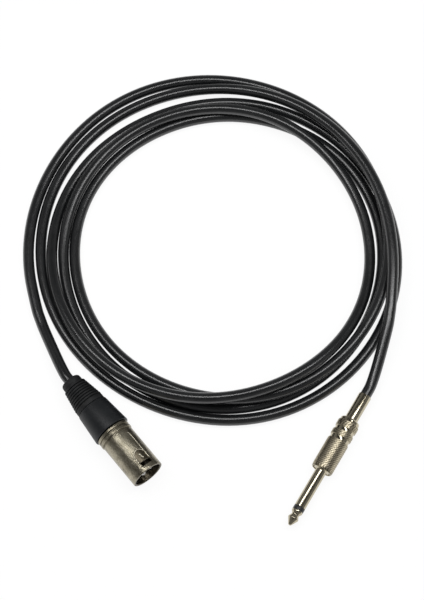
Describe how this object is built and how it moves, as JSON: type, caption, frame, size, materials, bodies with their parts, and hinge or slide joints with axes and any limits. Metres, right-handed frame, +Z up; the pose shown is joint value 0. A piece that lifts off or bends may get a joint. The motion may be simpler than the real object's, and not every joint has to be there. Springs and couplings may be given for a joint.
{
  "type": "microphone cable",
  "caption": "Coiled round black audio cable, about three metres long, with a three-pin circular plug on one end and a quarter-inch jack plug on the other.",
  "frame": {"origin": "on the floor, under the middle of the whole object's outline", "axes": "+Z up from the floor; +Y from the connectors across the coil; +X towards the jack's side"},
  "size_m": [0.2184, 0.2743, 0.0221],
  "materials": {
    "cable_jacket": "satin",
    "boot_rubber": "matte",
    "nut_plastic": "satin",
    "black_nickel": "satin plated",
    "black_plastic": "matte",
    "white_plastic": "matte",
    "contact_metal": "silver plated",
    "nickel": "polished plated",
    "red_core": "satin",
    "white_core": "satin",
    "copper_braid": "bare"
  },
  "bodies": {
    "cable": {"cable_coil": "cable_jacket", "xlr_lead": "cable_jacket", "jack_lead": "cable_jacket", "xlr_cable_end": "cable_jacket", "jack_cable_end": "cable_jacket", "xlr_chuck": "white_plastic", "xlr_shell": "black_nickel", "xlr_insert": "black_plastic", "xlr_pin_1": "contact_metal", "xlr_pin_2": "contact_metal", "xlr_pin_3": "contact_metal", "xlr_shield_wire": "copper_braid", "xlr_hot_wire": "red_core", "xlr_cold_wire": "white_core", "jack_liner": "white_plastic", "jack_plug_sleeve": "nickel", "jack_insulating_ring": "black_plastic", "jack_tip": "nickel", "jack_core_tube": "black_plastic", "jack_rear_washer": "black_plastic", "jack_tip_lug": "contact_metal", "jack_ground_clamp": "contact_metal", "jack_hot_wire": "red_core", "jack_shield_wire": "copper_braid"},
    "boot": {"xlr_boot": "boot_rubber"},
    "gland_nut": {"xlr_gland_nut": "nut_plastic"},
    "tail_tube": {"jack_tail_tube": "nickel"},
    "barrel": {"jack_barrel": "nickel"}
  },
  "joints": [
    {"name": "boot_slide", "type": "slide", "parent": "cable", "child": "boot", "axis": [-0.6298, 0.775, -0.0523], "range_m": [0, 0.00625]},
    {"name": "gland_nut_spin", "type": "hinge", "parent": "boot", "child": "gland_nut", "pos_m": [-0.06646, -0.07189, 0.00998], "axis": [-0.6298, 0.775, -0.0523], "range_deg": [0, 1800]},
    {"name": "tail_tube_slide", "type": "slide", "parent": "cable", "child": "tail_tube", "axis": [0.5098, 0.8603, 0], "range_m": [0, 0.005]},
    {"name": "barrel_spin", "type": "hinge", "parent": "tail_tube", "child": "barrel", "pos_m": [0.07688, -0.07785, 0.00625], "axis": [0.5098, 0.8603, 0], "range_deg": [0, 1800]}
  ],
  "couplings": [
    {"joint": "boot_slide", "follows": "gland_nut_spin", "m_per_rad": 0.00019894},
    {"joint": "tail_tube_slide", "follows": "barrel_spin", "m_per_rad": 0.00015915}
  ]
}
